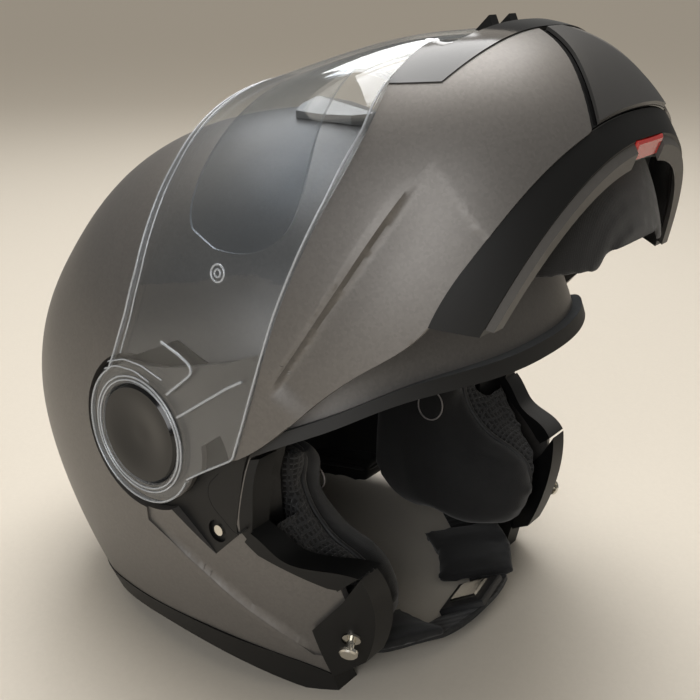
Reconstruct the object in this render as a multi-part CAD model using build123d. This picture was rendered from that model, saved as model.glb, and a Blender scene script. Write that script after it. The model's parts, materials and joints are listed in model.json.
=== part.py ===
from build123d import *

import math
import os

# A flip-up motorcycle helmet, drawn with its chin bar raised as it stands on a table.
# +X is the wearer's left, -Y is the front, +Z is up and Z = 0 is the table.
# Both sides are alike, so most pieces are drawn on the left and mirrored.

# Driving dimensions, in millimetres and degrees
pivot_height = 128.0
crown_radius = 134.0
shell_half_width = 128.0
closed_angle = 71.0
pivot_forward = 10.2

# What lies below the pivots keeps its share of their height over the table, and what is
# placed across keeps its share of the half width
drop_share = 1.046875
drop_radius = drop_share * pivot_height
side_share = 1.046875
side_radius = side_share * shell_half_width

# Wall thicknesses and clearances
shell_wall = 4.0
panel_wall = 3.0
visor_wall = 2.2
moving_gap = 0.4
seat_gap = 0.3
overrun = 60.0
same_point = 0.001

# Rounded forms: half width beyond the shell's, fullness across, and side profile.
# A profile is a list of angles above straight ahead, each with a share of crown_radius.
shell_fullness = 2.3
shell_profile_shares = [
    (-90, 1.53),
    (-57, 1.448),
    (-42, 1.313),
    (-20, 1.194),
    (10, 1.062),
    (45, 1.03),
    (90, 1.0),
    (125, 1.022),
    (147, 1.045),
    (165, 1.119),
    (185, 1.201),
    (210, 1.254),
    (240, 1.388),
]

visor_extra_width = 0.5
visor_fullness = 2.8
visor_profile_shares = [
    (-90, 1.60),
    (-57, 1.604),
    (-28, 1.582),
    (-12, 1.53),
    (-4, 1.41),
    (2, 1.313),
    (11, 1.201),
    (22, 1.12),
    (35, 1.075),
    (60, 1.06),
    (90, 1.06),
    (140, 1.12),
    (180, 1.2),
    (225, 1.4),
]

chin_extra_width = 1.3
chin_fullness = 2.4
chin_profile_shares = [
    (-90, 1.50),
    (-72, 1.50),
    (-52, 1.582),
    (-40, 1.657),
    (-30, 1.701),
    (-21, 1.687),
    (-12, 1.582),
    (-4, 1.463),
    (8, 1.343),
    (28, 1.231),
    (60, 1.12),
    (90, 1.12),
    (140, 1.2),
    (180, 1.27),
    (225, 1.4),
]

# Latitudes of the sections that a rounded form is drawn through
section_latitudes = (-84, -74, -60, -42, -21, 0, 21, 42, 60, 74, 84)


def form_section(half_width, fullness, profile_shares, inset, latitude):
    across = math.sin(math.radians(abs(latitude))) ** (2.0 / fullness)
    scale = math.cos(math.radians(latitude)) ** (2.0 / fullness)
    x = math.copysign(across * (half_width - inset), latitude)
    points = []
    for angle, share in profile_shares:
        radius = scale * (share * crown_radius - inset)
        turn = math.radians(angle)
        lift = radius * math.sin(turn)
        if lift < 0:
            lift *= drop_radius / crown_radius
        points.append(Vector(x, -radius * math.cos(turn), pivot_height + lift))
    return Wire([Edge.make_spline(points, periodic=True)])


def rounded_form(half_width, fullness, profile_shares, inset):
    sections = []
    for latitude in section_latitudes:
        section = form_section(half_width, fullness, profile_shares, inset, latitude)
        sections.append(section)
    return Solid.make_loft(sections)


def shell_form(inset):
    return rounded_form(shell_half_width, shell_fullness, shell_profile_shares, inset)


def visor_form(inset):
    half_width = shell_half_width + visor_extra_width
    return rounded_form(half_width, visor_fullness, visor_profile_shares, inset)


def chin_form(inset):
    half_width = shell_half_width + chin_extra_width
    return rounded_form(half_width, chin_fullness, chin_profile_shares, inset)


# Side outlines are lists of runs. Each point is (forward, up) from the pivot axis, as
# shares of crown_radius, and a run of three or more points is one smooth curve.
def rise(up):
    return up * (crown_radius if up > 0 else drop_radius)


def side_point(point, x=0.0):
    forward, up = point
    return Vector(x, -crown_radius * forward, pivot_height + rise(up))


def closed_wire(runs, place):
    edges = []
    last = None
    first = None
    for run in runs:
        points = [place(point) for point in run]
        if last is not None and (points[0] - last).length > same_point:
            edges.append(Edge.make_line(last, points[0]))
        if len(points) == 2:
            edges.append(Edge.make_line(points[0], points[1]))
        elif len(points) > 2:
            edges.append(Edge.make_spline(points))
        first = first or points[0]
        last = points[-1]
    if (last - first).length > same_point:
        edges.append(Edge.make_line(last, first))
    return Wire(edges)


def side_prism(runs, x_low, x_high):
    wire = closed_wire(runs, lambda point: side_point(point, x_low))
    return Solid.extrude(Face(wire), Vector(x_high - x_low, 0, 0))


def full_side_prism(runs):
    reach = shell_half_width + overrun
    return side_prism(runs, -reach, reach)


def full_side_disc(radius):
    reach = shell_half_width + overrun
    return side_disc(radius, -reach, reach)


def corners(*points):
    return [[points[i], points[i + 1]] for i in range(len(points) - 1)]


def side_disc(radius, x_low, x_high):
    disc = Cylinder(radius, x_high - x_low, rotation=(0, 90, 0))
    return Pos((x_low + x_high) / 2.0, 0, pivot_height) * disc


def on_right(solid):
    return mirror(solid, Plane.YZ)


def left_and_right(shape):
    pieces = sorted(shape.solids(), key=lambda solid: solid.center().X)
    return pieces[-1], pieces[0]


def raised(solid):
    axis = Axis((0, 0, pivot_height), (-1, 0, 0))
    return solid.rotate(axis, closed_angle)


NODES = {}


def keep(name, solid):
    NODES[name] = solid


def keep_pair(name, left, right=None):
    keep(name + "_left", left)
    keep(name + "_right", right or on_right(left))


# Side outline of the painted shell
top_share = 1.30
rear_share = 1.60
front_share = 2.20
brow_shares = [
    (1.30, 0.31),
    (1.00, 0.305),
    (0.90, 0.29),
    (0.84, 0.268),
    (0.74, 0.216),
    (0.61, 0.155),
    (0.48, 0.085),
]
temple_shares = [(0.48, 0.085), (0.445, -0.03), (0.425, -0.13), (0.41, -0.225), (0.41, -0.26)]
painted_rim_shares = [(0.41, -0.26), (0.45, -0.305), (0.53, -0.37), (0.62, -0.41), (0.72, -0.433)]
painted_corner_shares = [(0.72, -0.433), (0.73, -0.49), (0.62, -0.63), (0.635, -0.80), (0.64, -0.858)]
hem_shares = [
    (0.64, -0.858),
    (0.545, -0.80),
    (0.373, -0.762),
    (0.104, -0.746),
    (-0.134, -0.758),
    (-0.336, -0.776),
    (-0.56, -0.836),
    (-0.80, -0.862),
    (-1.20, -0.862),
]
crown_box_shares = [(-1.20, -0.862), (-rear_share, -0.862), (-rear_share, top_share), (1.30, top_share), (1.30, 0.31)]


def painted_shell_prism():
    runs = [brow_shares, temple_shares, painted_rim_shares]
    runs += corners(*painted_corner_shares)
    runs += [hem_shares]
    runs += corners(*crown_box_shares)
    return full_side_prism(runs)


# Pivot recess in each side of the shell, with the parts stacked in it from inside out
recess_radius = 38.5
recess_depth = 9.6
recess_floor_x = shell_half_width - recess_depth
recess_pan_wall = 3.0
pan_widen_share = 0.10
pan_room_share = 0.12
base_plate_thickness = 2.8
ear_thickness = 3.0
ear_radius = 34.0
lobe_radius = 33.5
cap_radius = 25.0
cap_edge_gap = 0.5
hub_radius = 11.0
cap_thickness = 3.2
cap_rounding = 1.5
base_plate_x = recess_floor_x + base_plate_thickness
ear_inner_x = base_plate_x + moving_gap
ear_outer_x = ear_inner_x + ear_thickness
cap_inner_x = ear_outer_x + 2.0 * moving_gap
side_plate_shares = [
    (0.0, 0.29),
    (0.17, 0.37),
    (0.32, 0.31),
    (0.44, 0.20),
    (0.475, 0.09),
    (0.44, -0.03),
    (0.42, -0.13),
    (0.40, -0.235),
    (0.405, -0.275),
    (0.30, -0.385),
    (0.10, -0.245),
    (0.0, -0.10),
]


def recess_prism(x_low, x_high, widen_share=0.0, shrink=0.0):
    scale = 1 + widen_share
    outline = [(forward * scale, up * scale) for forward, up in side_plate_shares]
    plate = side_prism(corners(*outline), x_low, x_high)
    return plate + side_disc(recess_radius * scale - shrink, x_low, x_high)


# The flank forward of this line is sunk, so that the closed chin bar nests over it
flank_depth = 1.2
flank_shares = [(0.0, -0.34), (0.17, -0.43), (0.30, -0.515), (0.40, -0.588), (0.505, -0.665), (0.60, -0.76)]
flank_box_shares = [(0.60, -0.76), (1.0, -0.76), (1.0, 0.09), (0.30, 0.09), (0.0, -0.10)]


def flank_prism():
    return full_side_prism([flank_shares] + corners(*flank_box_shares))


def make_outer_shell():
    outline = painted_shell_prism()
    flank = flank_prism()
    sunk = shell_form(flank_depth)
    shell = shell_form(0) & (outline - flank)
    shell += sunk & (outline & flank)
    shell -= shell_form(shell_wall)
    recess = recess_prism(recess_floor_x, shell_half_width + overrun)
    pan_x = recess_floor_x - recess_pan_wall
    pan = recess_prism(pan_x, shell_half_width, pan_widen_share) & sunk
    pan = (pan - recess) & outline
    shell -= recess
    shell -= on_right(recess)
    shell += pan
    return shell + on_right(pan)


# Black trim along the lower edge, arched over the table between its front and rear feet
trim_stand_off = 0.6
base_trim_depth = 10.0
base_arch_height = 15.0
arch_shares = [(0.53, 0.0), (0.42, 0.4), (0.15, 0.95), (-0.15, 1.0), (-0.42, 0.6), (-0.60, 0.0)]
arch_front_shares = [(0.53, -1.0), (0.53, 0.0)]
arch_rear_shares = [(-0.60, 0.0), (-0.60, -1.0)]
base_low_shares = [(-1.20, -0.862), (-rear_share, -0.862), (-rear_share, -1.1), (0.63, -1.1), (0.64, -0.858)]


def arch_prism():
    def place(point):
        forward, height = point
        return Vector(-shell_half_width - overrun, -crown_radius * forward, base_arch_height * height)

    wire = closed_wire([arch_front_shares, arch_shares, arch_rear_shares], place)
    return Solid.extrude(Face(wire), Vector(2.0 * (shell_half_width + overrun), 0, 0))


def above_table_box():
    size = 4.0 * crown_radius
    return Pos(0, 0, size / 2.0) * Box(size, size, size)


def make_base_trim():
    region = full_side_prism([hem_shares] + corners(*base_low_shares)) & above_table_box()
    region -= arch_prism()
    return (shell_form(-trim_stand_off) & region) - shell_form(base_trim_depth)


# Black rim of the face opening along the jaw and temple
rim_depth = 12.0
rim_stand_off = 0.8
rim_edge_shares = [(0.785, -0.38), (0.74, -0.364), (0.56, -0.335), (0.50, -0.28), (0.455, -0.245)]
rim_temple_shares = [(0.455, -0.245), (0.465, -0.13), (0.475, -0.03), (0.49, 0.024)]
rim_back_shares = [(0.40, 0.0), (0.40, -0.26), (0.45, -0.32), (0.72, -0.44)]
temple_nest_radius = 70.0


def make_rim_trims():
    runs = corners(*rim_back_shares) + [rim_edge_shares, rim_temple_shares]
    band = shell_form(-rim_stand_off) & (full_side_prism(runs) - painted_shell_prism())
    band -= full_side_disc(temple_nest_radius) - shell_form(flank_depth)
    return left_and_right(band - shell_form(rim_depth))


# Latch strikers, a mushroom pin on each corner plate
striker_forward_share = 0.73
striker_up_share = -0.658
striker_inset = 34.4
striker_length = 9.3
striker_neck_radius = 2.0
striker_head_radius = 4.4
striker_head_thickness = 2.2
striker_foot_thickness = 1.2
striker_splay = 25.0
striker_droop = 25.0
striker_sink = 4.0

# Black corner plates that carry the latch strikers
corner_depth = 9.0
corner_front_shares = [(0.79, -0.386), (0.808, -0.45), (0.81, -0.57), (0.785, -0.69), (0.75, -0.785)]
corner_foot_shares = [(0.645, -0.865), (0.75, -0.785)]


def striker_place():
    spot = (striker_forward_share, striker_up_share)
    place = side_point(spot, shell_half_width - striker_inset)
    return Location(place) * Rot(0, 0, -striker_splay) * Rot(0, 90 + striker_droop, 0)


def striker_seat():
    shank = Pos(0, 0, -striker_sink / 2.0) * Cylinder(striker_neck_radius, striker_sink)
    room = Cylinder(striker_head_radius + seat_gap, 2.0 * striker_length)
    return striker_place() * (Pos(0, 0, striker_length) * room + shank)


def make_corner_plates():
    runs = corners(*painted_corner_shares[1:])
    runs += [corner_foot_shares, list(reversed(corner_front_shares))]
    band = shell_form(-rim_stand_off) & full_side_prism(runs)
    band -= shell_form(corner_depth)
    seat = striker_seat()
    left, right = left_and_right(band)
    return left - seat, right - on_right(seat)


def make_striker():
    neck = Cylinder(striker_neck_radius, striker_length + striker_sink)
    neck = Pos(0, 0, (striker_length - striker_sink) / 2.0) * neck
    foot = Pos(0, 0, striker_foot_thickness / 2.0) * Cylinder(striker_head_radius, striker_foot_thickness)
    head = Cylinder(striker_head_radius, striker_head_thickness)
    head = chamfer(head.edges().group_by(Axis.Z)[-1], striker_head_thickness / 3.0)
    head = Pos(0, 0, striker_length - striker_head_thickness / 2.0) * head
    return striker_place() * (neck + foot + head)


# Side plates in the pivot recesses, each with the round pocket of the latch stop
pocket_radius = 5.6
pocket_depth = 1.8
pocket_share = (0.31, -0.292)
pocket_pin_radius = 2.6
pocket_pin_height = 1.4
plate_edge_gap = 0.3


def make_side_plate():
    plate = recess_prism(recess_floor_x, base_plate_x, 0.0, plate_edge_gap)
    plate &= shell_form(-rim_stand_off)
    spot = side_point(pocket_share, base_plate_x)
    pocket = Location(spot) * Rot(0, 90, 0) * Cylinder(pocket_radius, 2.0 * pocket_depth)
    return plate - pocket


def make_pocket_pin():
    spot = side_point(pocket_share, base_plate_x - pocket_depth + pocket_pin_height / 2.0)
    return Location(spot) * Rot(0, 90, 0) * Cylinder(pocket_pin_radius, pocket_pin_height)


def make_pivot_cap():
    cap = Cylinder(cap_radius - cap_edge_gap, cap_thickness)
    cap = chamfer(cap.edges().group_by(Axis.Z)[-1], cap_rounding)
    stem_length = cap_inner_x - base_plate_x
    stem = Cylinder(hub_radius, stem_length)
    cap = Pos(0, 0, stem_length + cap_thickness / 2.0) * cap
    stem = Pos(0, 0, stem_length / 2.0) * stem
    return Pos(base_plate_x, 0, pivot_height) * Rot(0, 90, 0) * (cap + stem)


# Seal over the brow
seal_stand_off = 4.6
seal_depth = 4.0
seal_height_share = 0.05
seal_lean_share = 0.006


def make_brow_seal():
    lower = [(forward - seal_lean_share, up - seal_height_share) for forward, up in reversed(brow_shares)]
    region = full_side_prism([brow_shares, lower])
    tall = 4.0 * crown_radius
    region &= Pos(0, 0, pivot_height) * Box(2.0 * base_plate_x, tall, tall)
    return (shell_form(-seal_stand_off) & region) - shell_form(seal_depth)


# Impact liner and comfort lining
liner_thickness = 26.0
liner_outer = shell_wall + seat_gap
cavity_inset = liner_outer + liner_thickness
pad_thickness = 9.0
liner_lean_share = 0.02
liner_lift_share = 0.012
liner_front_shares = [(0.46, 0.097), (0.42, -0.03), (0.40, -0.13), (0.40, -0.33), (0.42, -0.70)]
liner_bottom_shares = [(0.43, -0.70), (0.0, -0.72), (-0.6, -0.78), (-rear_share, -0.78)]
liner_top_shares = [(-rear_share, -0.78), (-rear_share, top_share), (1.28, top_share), (1.28, 0.322)]
cheek_side_inset = 43.6
strap_room = 3.6
pocket_grow_share = 1.012
cheek_back_share = -0.105
cheek_turn_share = 0.45
cheek_front_shares = [(1.2, 0.9), (0.50, 0.9)]
cheek_inner_shares = [(0.50, 0.86), (0.475, 0.70), (0.455, 0.52), (0.45, 0.34), (0.47, 0.11), (0.53, -0.08)]
cheek_outline_shares = [
    (0.45, -0.79),
    (0.70, -0.76),
    (0.79, -0.68),
    (0.80, -0.56),
    (0.75, -0.455),
    (0.66, -0.40),
    (0.56, -0.355),
    (0.48, -0.28),
    (0.435, -0.20),
    (0.43, -0.06),
    (0.25, -0.03),
    (0.0, -0.08),
    (-0.08, -0.30),
    (-0.08, -0.72),
    (0.10, -0.83),
]
# The cushion's swelling: how far across, and how wide and high its outline is there
cheek_middle_share = (0.35, -0.43)
cheek_swell_shares = [(0.40, 0.42), (0.44, 0.70), (0.50, 0.92), (0.58, 1.08), (0.70, 1.15), (1.0, 1.20)]


def eps_region():
    back = [(forward - liner_lean_share, up + liner_lift_share) for forward, up in brow_shares]
    runs = [back]
    runs += corners(*liner_front_shares)
    runs += corners(*liner_bottom_shares)
    runs += corners(*liner_top_shares)
    return full_side_prism(runs)


def cheek_plan_prism(grow):
    def place(point):
        across, forward = point
        return Vector(side_radius * across, -crown_radius * forward, -overrun)

    side = (shell_half_width - cheek_side_inset + grow * strap_room / seat_gap) / side_radius
    turn = cheek_turn_share - grow / crown_radius
    back = cheek_back_share - grow / crown_radius
    rear = (cheek_inner_shares[-1][0], back)
    outer = (cheek_front_shares[0][0], turn)
    runs = [cheek_front_shares, cheek_inner_shares]
    runs += corners(rear, (side, back), (side, turn), outer)
    wire = closed_wire(runs, place)
    return Solid.extrude(Face(wire), Vector(0, 0, pivot_height + 2.0 * overrun))


def cheek_cushion():
    middle_forward, middle_up = cheek_middle_share
    sections = []
    for across, swell in cheek_swell_shares:
        points = []
        for forward, up in cheek_outline_shares:
            wide = middle_forward + swell * (forward - middle_forward)
            high = middle_up + swell * (up - middle_up)
            points.append(side_point((wide, high), across * side_radius))
        sections.append(Wire([Edge.make_spline(points, periodic=True)]))
    return Solid.make_loft(sections)


def make_cheek_pad():
    region = side_prism(corners(*cheek_outline_shares), 0.0, shell_half_width)
    cushion = cheek_cushion() & (region & cheek_plan_prism(0.0))
    return cushion & shell_form(rim_depth + seat_gap)


def cheek_pocket():
    grown = [(forward * pocket_grow_share, up * pocket_grow_share) for forward, up in cheek_outline_shares]
    region = side_prism(corners(*grown), 0.0, shell_half_width)
    return region & cheek_plan_prism(seat_gap)


def make_impact_liner():
    liner = (shell_form(liner_outer) & eps_region()) - shell_form(cavity_inset)
    pocket = cheek_pocket()
    liner -= pocket
    liner -= on_right(pocket)
    side_room = recess_prism(recess_floor_x - recess_pan_wall - seat_gap, shell_half_width, pan_room_share)
    liner -= side_room
    liner -= on_right(side_room)
    return liner


crown_pad_low_shares = [(1.1, 0.19), (0.60, 0.07), (0.0, 0.10), (-0.5, -0.05), (-rear_share, -0.05)]
crown_pad_high_shares = [(-rear_share, -0.05), (-rear_share, top_share), (1.1, top_share)]


def make_crown_pad():
    runs = corners(*crown_pad_low_shares) + corners(*crown_pad_high_shares)
    form = shell_form(cavity_inset + seat_gap) & full_side_prism(runs)
    return form - shell_form(cavity_inset + pad_thickness)


neck_roll_depth = 24.0
neck_roll_shares = [
    (-0.15, -0.75),
    (-0.60, -0.79),
    (-rear_share, -0.79),
    (-rear_share, -0.87),
    (-0.15, -0.87),
]


def make_neck_roll():
    form = shell_form(base_trim_depth + seat_gap) & full_side_prism(corners(*neck_roll_shares))
    return form - shell_form(base_trim_depth + neck_roll_depth)


# Chin strap of flat webbing, from its left anchor over the table to its right one.
# Each station is (across, forward, height) with the direction of the strap's width.
strap_width = 22.0
strap_thickness = 2.0
strap_station_shares = [
    ((0.645, 0.29, 0.40), (0.0, 1.0, 0.0)),
    ((0.645, 0.29, 0.135), (0.0, 1.0, 0.0)),
    ((0.605, 0.35, 0.07), (0.2, 1.0, 0.12)),
    ((0.52, 0.48, 0.055), (0.6, 1.0, 0.3)),
    ((0.40, 0.62, 0.05), (0.7, 1.0, 0.3)),
    ((0.22, 0.745, 0.05), (0.35, 1.0, 0.45)),
    ((0.0, 0.79, 0.06), (0.0, 1.0, 0.6)),
]


def strap_section(station, side):
    (across, forward, height), (wide_x, wide_y, wide_z) = station
    middle = Vector(side * across * side_radius, -forward * crown_radius, height * drop_radius)
    return middle, Vector(side * wide_x, -wide_y, wide_z).normalized()


def strap_frames():
    frames = [strap_section(station, 1) for station in strap_station_shares]
    return frames + [strap_section(station, -1) for station in reversed(strap_station_shares[:-1])]


def strap_loft(first, last, width, low, high):
    frames = strap_frames()
    sections = []
    for i in range(first, last + 1):
        middle, wide = frames[i]
        before = frames[max(i - 1, 0)][0]
        after = frames[min(i + 1, len(frames) - 1)][0]
        out = (after - before).cross(wide).normalized()
        side = wide * (width / 2.0)
        corner_points = [middle + side + out * high, middle - side + out * high]
        corner_points += [middle - side + out * low, middle + side + out * low]
        sections.append(Wire.make_polygon(corner_points, close=True))
    return Solid.make_loft(sections, ruled=True)


def make_chin_strap():
    half = strap_thickness / 2.0
    return strap_loft(0, 2 * len(strap_station_shares) - 2, strap_width, -half, half)


# Padded flaps that lie along the strap, and its buckle on the wearer's left
strap_pad_width = 34.0
strap_pad_thickness = 6.0
strap_pad_stations = (3, 5)
buckle_length = 30.0
buckle_width = 27.0
buckle_thickness = 3.2
buckle_station_share = 0.78
buckle_lift = 1.9
lever_length = 19.0
lever_width = 16.0
lever_thickness = 1.8
buckle_edge = 0.8


def make_strap_pad():
    first, last = strap_pad_stations
    low = strap_thickness / 2.0 + seat_gap
    return strap_loft(first, last, strap_pad_width, low, low + strap_pad_thickness)


def buckle_plate(length, width, thickness, lift):
    near, near_wide = strap_section(strap_station_shares[-2], 1)
    middle, middle_wide = strap_section(strap_station_shares[-1], 1)
    spot = near + (middle - near) * buckle_station_share
    along = middle - near
    wide = near_wide + (middle_wide - near_wide) * buckle_station_share
    up = along.cross(wide)
    plate = Box(length, width, thickness)
    plate = chamfer(plate.edges().group_by(Axis.Z)[-1], buckle_edge)
    raised_plate = Pos(0, 0, lift + thickness / 2.0) * plate
    return Plane(origin=spot, x_dir=along, z_dir=up).location * raised_plate


def make_buckle():
    return buckle_plate(buckle_length, buckle_width, buckle_thickness, strap_thickness / 2.0 + buckle_lift)


def make_buckle_lever():
    lift = strap_thickness / 2.0 + buckle_lift + buckle_thickness + seat_gap
    return buckle_plate(lever_length, lever_width, lever_thickness, lift)


# Chin bar outlines in the closed pose
chin_top_shares = [
    (0.175, -0.41),
    (0.306, -0.41),
    (0.49, -0.403),
    (0.71, -0.39),
    (0.90, -0.388),
    (1.07, -0.387),
    (1.26, -0.37),
    (1.373, -0.321),
]
chin_front_top_shares = [
    (1.373, -0.321),
    (1.433, -0.306),
    (1.478, -0.308),
    (1.505, -0.372),
    (1.54, -0.392),
    (1.80, -0.40),
]
trim_lower_shares = [(1.373, -0.321), (1.433, -0.463)]
trim_front_shares = [(1.433, -0.463), (1.52, -0.478), (1.80, -0.49)]
chin_bottom_rear_shares = [
    (0.86, -0.798),
    (0.813, -0.784),
    (0.657, -0.687),
    (0.455, -0.575),
    (0.291, -0.4925),
    (0.175, -0.41),
]
chin_bottom_front_shares = [(1.80, -0.88), (1.50, -0.862), (1.32, -0.836), (1.10, -0.813), (0.98, -0.80), (0.86, -0.798)]
crease_shares = [(0.44, -0.44), (0.679, -0.493), (0.933, -0.537), (1.104, -0.56), (1.254, -0.582)]
crease_front_shares = [(1.254, -0.582), (1.336, -0.679), (1.38, -0.761), (1.42, -0.87)]
crease_low_shares = [(1.42, -0.87), (1.42, -1.0), (0.20, -1.0), (0.44, -0.44)]
crease_depth = 1.1
chin_bottom_share = -0.925
chin_rear_foot_share = 0.88
web_shares = [
    (-0.05, -0.22),
    (0.24, 0.08),
    (0.30, -0.04),
    (0.47, -0.28),
    (0.60, -0.42),
    (0.45, -0.50),
    (0.175, -0.41),
    (-0.05, -0.22),
]
web_room_share = -0.01
trim_depth = 4.0
lower_trim_inset = 1.0
lower_trim_depth = 9.0

# The satin vent plate on the front, in its glossy surround
beak_shares = [(0.035, -0.47), (0.125, -0.64), (0.19, -0.75), (0.255, -0.863)]
beak_low_shares = [(1.10, -0.50), (1.80, -0.50)]
beak_pocket_depth = 1.9
beak_stand_off = 1.2
beak_lift_share = 0.005
surround_width = 4.0
surround_depth = 0.7


def beak_prism(grow):
    def place(point):
        across, up = point
        return Vector(side_radius * across, -crown_radius * front_share, pivot_height + rise(up))

    wide = [(across + grow / side_radius, up) for across, up in beak_shares]
    right = [(-across, up) for across, up in reversed(wide)]
    outline = wide + right + [wide[0]]
    wire = closed_wire(corners(*outline), place)
    return Solid.extrude(Face(wire), Vector(0, crown_radius, 0))


def make_chin_shell():
    runs = [chin_top_shares]
    runs += [trim_lower_shares, trim_front_shares]
    runs += [chin_bottom_front_shares, chin_bottom_rear_shares]
    outline = full_side_prism(runs)
    sunk = full_side_prism([crease_shares, crease_front_shares] + corners(*crease_low_shares))
    panel = chin_form(0) & (outline - sunk)
    panel += chin_form(crease_depth) & (outline & sunk)
    panel -= chin_form(panel_wall)
    panel -= beak_prism(surround_width + seat_gap) - chin_form(beak_pocket_depth)
    ear = side_prism(corners(*web_shares), ear_inner_x, ear_outer_x)
    ear &= visor_form(visor_wall + moving_gap)
    ear &= chin_form(panel_wall / 2.0)
    beyond = side_prism(corners(*web_shares), ear_inner_x - overrun, ear_outer_x + overrun)
    beyond -= recess_prism(0.0, shell_half_width + overrun, web_room_share, moving_gap)
    ear -= beyond & shell_form(flank_depth - moving_gap)
    ear += side_disc(ear_radius, ear_inner_x, ear_outer_x)
    ear -= side_disc(hub_radius + moving_gap, ear_inner_x - overrun, ear_outer_x + overrun)
    return panel + ear + on_right(ear)


def make_chin_top_trim():
    runs = [chin_front_top_shares]
    runs += [list(reversed(trim_front_shares)), list(reversed(trim_lower_shares))]
    trim = chin_form(-trim_stand_off) & full_side_prism(runs)
    return trim - chin_form(trim_depth)


def beak_layer(grow, outer, inner):
    bottom = [(forward, up + beak_lift_share) for forward, up in chin_bottom_front_shares[:4]]
    region = full_side_prism([bottom] + corners(*beak_low_shares)) & beak_prism(grow)
    return (chin_form(outer) & region) - chin_form(inner)


def make_front_vent():
    return beak_layer(0.0, -beak_stand_off, surround_depth - seat_gap)


def make_vent_surround():
    return beak_layer(surround_width, surround_depth, beak_pocket_depth - seat_gap)


# Latch hooks inside the chin bar, each a fork that closes round its striker's neck
hook_turn = 37.0
hook_lift = 2.6
hook_thickness = 2.2
hook_half_width = 6.5
hook_reach = 3.5
hook_back = 15.0
hook_foot_length = 6.0
hook_slot_gap = 0.5


def make_latch_hook():
    length = hook_back + hook_reach
    plate = Pos((hook_reach - hook_back) / 2.0, 0, 0) * Box(length, 2.0 * hook_half_width, hook_thickness)
    slot_radius = striker_neck_radius + hook_slot_gap
    slot = Cylinder(slot_radius, 2.0 * hook_thickness)
    slot += Pos(length / 2.0, 0, 0) * Box(length, 2.0 * slot_radius, 2.0 * hook_thickness)
    foot = Box(hook_foot_length, 2.0 * hook_half_width, striker_inset)
    foot = Pos(hook_foot_length / 2.0 - hook_back, 0, striker_inset / 2.0 - hook_thickness / 2.0) * foot
    fork = Pos(0, 0, hook_lift + hook_thickness / 2.0) * (plate - slot + foot)
    hook = striker_place() * Rot(0, 0, hook_turn) * fork
    return hook & chin_form(panel_wall + seat_gap)


# Release button, which slides up into its slot under the front of the chin bar
button_length = 26.0
button_depth = 9.0
button_height = 8.5
button_share = (1.368, -0.905)
button_edge = 1.0


def button_box(grow):
    room = 2.0 * grow
    box = Box(button_length + room, button_depth + room, button_height + room)
    return Location(side_point(button_share)) * box


def button_slot():
    slot = button_box(moving_gap)
    for step in (-1, 1):
        slot += Pos(0, 0, step * button_height) * button_box(moving_gap)
    return slot


def make_release_button():
    button = button_box(0)
    return chamfer(button.edges().group_by(Axis.Z)[0], button_edge)


lower_trim_shares = [(0.86, -0.798), (chin_rear_foot_share, chin_bottom_share), (1.80, chin_bottom_share)]


def make_chin_lower_trim():
    region = full_side_prism([chin_bottom_front_shares] + corners(*lower_trim_shares))
    trim = (chin_form(lower_trim_inset) & region) - chin_form(lower_trim_depth)
    return trim - button_slot()


# Rubber strip under the lower trim, in two lengths beside the button
strip_low_share = chin_bottom_share - 0.022
strip_shares = [
    (0.90, chin_bottom_share),
    (1.80, chin_bottom_share),
    (1.80, strip_low_share),
    (0.90, strip_low_share),
]
strip_inset = 2.0
strip_depth = 7.2


def make_chin_seals():
    seal = chin_form(strip_inset) & full_side_prism(corners(*strip_shares))
    seal -= chin_form(strip_depth)
    tall = 4.0 * crown_radius
    seal -= Pos(0, 0, pivot_height) * Box(button_length + 2.0 * moving_gap, tall, tall)
    return left_and_right(seal)


# Foam liner inside the chin bar, and the fabric curtain that hangs below it
chin_liner_depth = 18.0
chin_liner_shares = [(0.93, -0.42), (1.30, -0.42), (1.80, -0.36), (1.80, -0.79), (0.93, -0.79)]
curtain_lap = 1.8
curtain_shares = [(0.98, -0.79), (1.80, -0.79), (1.80, -1.03), (1.03, -1.03)]


def make_chin_liner():
    region = full_side_prism(corners(*chin_liner_shares))
    return (chin_form(trim_depth + seat_gap) & region) - chin_form(chin_liner_depth)


def make_chin_curtain():
    inset = chin_liner_depth - curtain_lap
    region = full_side_prism(corners(*curtain_shares))
    return (chin_form(inset) & region) - chin_form(inset + panel_wall)


# Visor outline in the closed pose
visor_gap_share = 0.006
visor_top_shares = [
    (1.80, 0.47),
    (1.40, 0.42),
    (1.06, 0.35),
    (0.873, 0.275),
    (0.72, 0.238),
    (0.545, 0.20),
    (0.388, 0.183),
    (0.246, 0.187),
    (0.10, 0.21),
]
visor_back_shares = [(0.10, 0.21), (0.0, 0.20), (-0.05, 0.0), (-0.03, -0.235)]


def make_visor():
    low = [(forward, up + visor_gap_share) for forward, up in chin_top_shares]
    front = [(forward, up + visor_gap_share) for forward, up in chin_front_top_shares]
    runs = [low, front, visor_top_shares]
    runs += corners(*visor_back_shares, low[0])
    region = full_side_prism(runs)
    region += full_side_disc(lobe_radius)
    region -= full_side_disc(cap_radius)
    return (visor_form(0) & region) - visor_form(visor_wall)


# Two pointed finger tabs at the middle of the visor's lower edge
visor_tab_shares = [(1.492, -0.283), (1.553, -0.313), (1.505, -0.360), (1.492, -0.283)]
visor_tab_gap = 11.0
visor_tab_width = 6.0


def make_visor_tab():
    inner_x = visor_tab_gap / 2.0
    return side_prism(corners(*visor_tab_shares), inner_x, inner_x + visor_tab_width)


inner_lens_thickness = 1.0
lens_shares = [(1.80, 0.20), (1.20, 0.21), (0.99, 0.16), (0.87, 0.12), (0.79, 0.075), (0.765, 0.04)]
lens_low_shares = [(0.765, -0.08), (0.79, -0.16), (0.845, -0.25), (0.92, -0.30), (1.06, -0.29), (1.80, -0.22)]


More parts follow.
